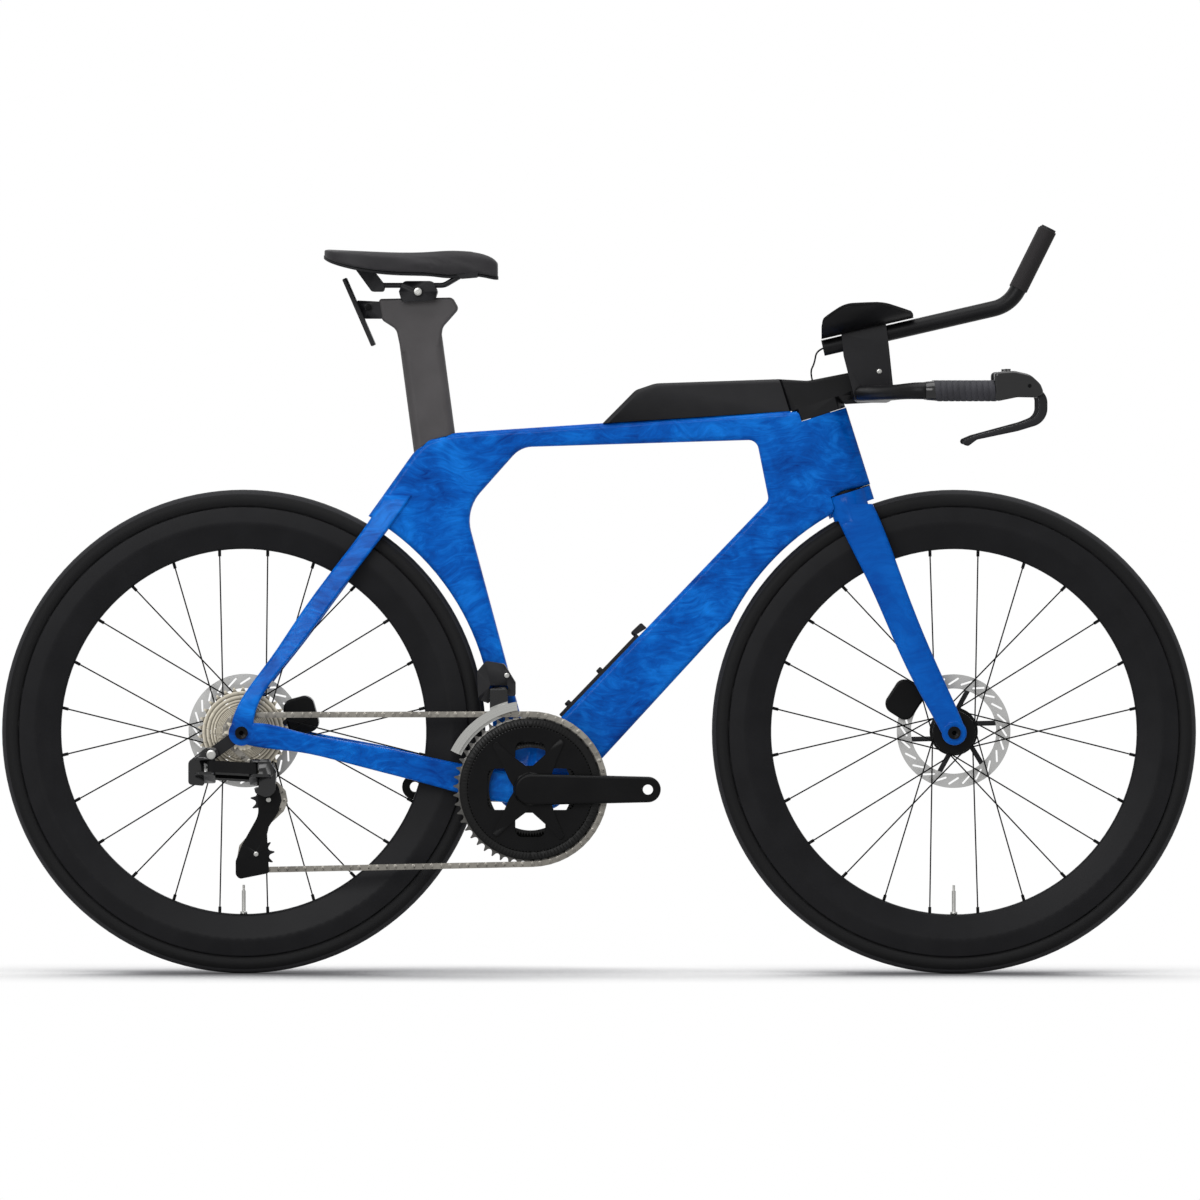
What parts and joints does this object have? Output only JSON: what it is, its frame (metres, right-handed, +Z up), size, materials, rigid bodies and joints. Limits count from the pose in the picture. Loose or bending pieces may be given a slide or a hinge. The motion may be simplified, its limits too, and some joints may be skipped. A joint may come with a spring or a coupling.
{
  "type": "time trial bike",
  "caption": "Aero time trial bicycle with mottled blue frame, deep rims, disc brakes, aerobars with arm pads, storage box and electric shifting.",
  "frame": {"origin": "on the floor, midway between the axles, in the middle plane", "axes": "+X forward, +Y to the rider's left, +Z up"},
  "size_m": [1.678, 0.4214, 1.0516],
  "materials": {
    "painted_frame": "gloss mottled blue paint over carbon shell",
    "black_carbon": "satin black composite",
    "grey_carbon": "satin dark grey composite",
    "tyre": "matt rubber",
    "steel": "brushed",
    "black_steel": "black coated steel",
    "black_alloy": "gloss black anodised alloy",
    "black_plastic": "satin moulded plastic",
    "cushion": "black cover over foam",
    "rubber": "matt rubber",
    "brake_lining": "sintered brake lining"
  },
  "bodies": {
    "frame": {"frame": "painted_frame", "derailleur_hanger": "black_alloy", "storage_box": "black_plastic", "bottle_mount_rail": "black_alloy", "frame_bearings": "steel", "rear_axle": "black_alloy", "rear_caliper": "black_alloy", "chain": "steel", "front_derailleur_body": "black_plastic"},
    "seatpost": {"seatpost": "grey_carbon", "rear_bracket": "black_alloy", "saddle_clamp": "black_alloy"},
    "saddle": {"saddle_shell": "black_carbon", "saddle_rails": "black_alloy", "saddle_cover": "cushion"},
    "steering": {"fork": "painted_frame", "stem": "black_carbon", "base_bar": "black_carbon", "base_bar_grips": "rubber", "brake_hoods": "black_plastic", "aerobar_risers": "black_alloy", "armrest_cups": "black_carbon", "armrest_pads": "cushion", "extensions": "black_carbon", "extension_grips": "rubber", "extension_wire": "rubber", "front_caliper": "black_alloy", "front_axle": "black_alloy"},
    "lever_left": {"brake_lever_left": "black_alloy"},
    "lever_right": {"brake_lever_right": "black_alloy"},
    "front_pad_inner": {"front_pad_inner": "brake_lining"},
    "front_pad_outer": {"front_pad_outer": "brake_lining"},
    "rear_pad_inner": {"rear_pad_inner": "brake_lining"},
    "rear_pad_outer": {"rear_pad_outer": "brake_lining"},
    "shift_button_left": {"shift_button_left": "black_plastic"},
    "shift_button_right": {"shift_button_right": "black_plastic"},
    "front_wheel": {"front_tyre": "tyre", "front_rim": "black_carbon", "front_spokes": "black_steel", "front_hub": "black_alloy", "front_rotor": "steel", "front_valve": "black_alloy"},
    "rear_wheel": {"rear_tyre": "tyre", "rear_rim": "black_carbon", "rear_spokes": "black_steel", "rear_hub": "black_alloy", "rear_rotor": "steel", "rear_valve": "black_alloy"},
    "cassette": {"cassette": "steel"},
    "crank": {"crank_arm_right": "black_alloy", "crank_arm_left": "black_alloy", "chainrings": "black_alloy"},
    "front_derailleur_cage": {"front_derailleur_cage": "steel"},
    "derailleur_b_knuckle": {"derailleur_b_knuckle": "black_plastic"},
    "derailleur_outer_link": {"derailleur_outer_link": "black_alloy"},
    "derailleur_inner_link": {"derailleur_inner_link": "black_alloy"},
    "derailleur_p_knuckle": {"derailleur_p_knuckle": "black_plastic"},
    "derailleur_cage": {"derailleur_cage": "black_alloy"},
    "guide_pulley": {"guide_pulley": "black_plastic"},
    "tension_pulley": {"tension_pulley": "black_plastic"}
  },
  "joints": [
    {"name": "steering", "type": "hinge", "parent": "frame", "child": "steering", "pos_m": [0.32858, 0, 0.73084], "axis": [-0.3007, 0, 0.9537], "range_deg": [-40, 40]},
    {"name": "front_wheel_spin", "type": "hinge", "parent": "steering", "child": "front_wheel", "pos_m": [0.499, 0, 0.34], "axis": [0, 1, 0], "continuous": true},
    {"name": "rear_wheel_spin", "type": "hinge", "parent": "frame", "child": "rear_wheel", "pos_m": [-0.499, 0, 0.34], "axis": [0, 1, 0], "continuous": true},
    {"name": "crank_spin", "type": "hinge", "parent": "frame", "child": "crank", "pos_m": [-0.095, 0, 0.2605], "axis": [0, 1, 0], "continuous": true, "deforming": ["chain"]},
    {"name": "cassette_spin", "type": "hinge", "parent": "frame", "child": "cassette", "pos_m": [-0.499, 0, 0.34], "axis": [0, 1, 0], "continuous": true},
    {"name": "b_pivot", "type": "hinge", "parent": "frame", "child": "derailleur_b_knuckle", "pos_m": [-0.541, -0.08, 0.31], "axis": [0, 1, 0], "range_deg": [-2, 4]},
    {"name": "outer_link_swing", "type": "hinge", "parent": "derailleur_b_knuckle", "child": "derailleur_outer_link", "pos_m": [-0.541, -0.09506, 0.29223], "axis": [0, 0.4226, 0.9063], "range_deg": [-5, 41]},
    {"name": "inner_link_swing", "type": "hinge", "parent": "derailleur_b_knuckle", "child": "derailleur_inner_link", "pos_m": [-0.541, -0.07694, 0.28377], "axis": [0, 0.4226, 0.9063], "range_deg": [-5, 41]},
    {"name": "p_knuckle_swing", "type": "hinge", "parent": "derailleur_outer_link", "child": "derailleur_p_knuckle", "pos_m": [-0.48158, -0.0875, 0.2887], "axis": [0, 0.4226, 0.9063], "range_deg": [-41, 5]},
    {"name": "cage_swing", "type": "hinge", "parent": "derailleur_p_knuckle", "child": "derailleur_cage", "pos_m": [-0.463, -0.06, 0.275], "axis": [0, 1, 0], "range_deg": [-20, 25], "stiffness_Nm_per_rad": 1},
    {"name": "guide_pulley_spin", "type": "hinge", "parent": "derailleur_cage", "child": "guide_pulley", "pos_m": [-0.46171, -0.053, 0.24587], "axis": [0, 1, 0], "continuous": true},
    {"name": "tension_pulley_spin", "type": "hinge", "parent": "derailleur_cage", "child": "tension_pulley", "pos_m": [-0.47923, -0.053, 0.16977], "axis": [0, 1, 0], "continuous": true},
    {"name": "front_derailleur_swing", "type": "hinge", "parent": "frame", "child": "front_derailleur_cage", "pos_m": [-0.14, -0.038, 0.396], "axis": [1, 0, 0], "range_deg": [0, 5]},
    {"name": "lever_left_pull", "type": "hinge", "parent": "steering", "child": "lever_left", "pos_m": [0.602, 0.196, 0.826], "axis": [0, 1, 0], "range_deg": [0, 14], "stiffness_Nm_per_rad": 0.6, "springref_deg": -6.88},
    {"name": "lever_right_pull", "type": "hinge", "parent": "steering", "child": "lever_right", "pos_m": [0.602, -0.196, 0.826], "axis": [0, 1, 0], "range_deg": [0, 14], "stiffness_Nm_per_rad": 0.6, "springref_deg": -6.88},
    {"name": "front_pad_inner_slide", "type": "slide", "parent": "steering", "child": "front_pad_inner", "axis": [0, 1, 0], "range_m": [0, 0.0003]},
    {"name": "front_pad_outer_slide", "type": "slide", "parent": "steering", "child": "front_pad_outer", "axis": [0, -1, 0], "range_m": [0, 0.0003]},
    {"name": "rear_pad_inner_slide", "type": "slide", "parent": "frame", "child": "rear_pad_inner", "axis": [0, 1, 0], "range_m": [0, 0.0003]},
    {"name": "rear_pad_outer_slide", "type": "slide", "parent": "frame", "child": "rear_pad_outer", "axis": [0, -1, 0], "range_m": [0, 0.0003]},
    {"name": "shift_left_press", "type": "slide", "parent": "steering", "child": "shift_button_left", "axis": [-0.4462, 0, -0.8949], "range_m": [0, 0.0015], "stiffness_N_per_m": 1200, "springref_m": -0.001},
    {"name": "shift_right_press", "type": "slide", "parent": "steering", "child": "shift_button_right", "axis": [-0.4462, 0, -0.8949], "range_m": [0, 0.0015], "stiffness_N_per_m": 1200, "springref_m": -0.001},
    {"name": "seatpost_slide", "type": "slide", "parent": "frame", "child": "seatpost", "axis": [-0.1323, 0, 0.9912], "range_m": [-0.04, 0.035]},
    {"name": "saddle_slide", "type": "slide", "parent": "seatpost", "child": "saddle", "axis": [1, 0, 0], "range_m": [-0.003, 0.016]}
  ],
  "couplings": [
    {"joint": "cassette_spin", "follows": "crank_spin", "ratio": 4.3333},
    {"joint": "guide_pulley_spin", "follows": "crank_spin", "ratio": -4.7273},
    {"joint": "tension_pulley_spin", "follows": "crank_spin", "ratio": 4.7273},
    {"joint": "inner_link_swing", "follows": "outer_link_swing", "ratio": 1},
    {"joint": "p_knuckle_swing", "follows": "outer_link_swing", "ratio": -1},
    {"joint": "front_pad_inner_slide", "follows": "lever_left_pull", "m_per_rad": 0.0012278},
    {"joint": "front_pad_outer_slide", "follows": "lever_left_pull", "m_per_rad": 0.0012278},
    {"joint": "rear_pad_inner_slide", "follows": "lever_right_pull", "m_per_rad": 0.0012278},
    {"joint": "rear_pad_outer_slide", "follows": "lever_right_pull", "m_per_rad": 0.0012278}
  ]
}
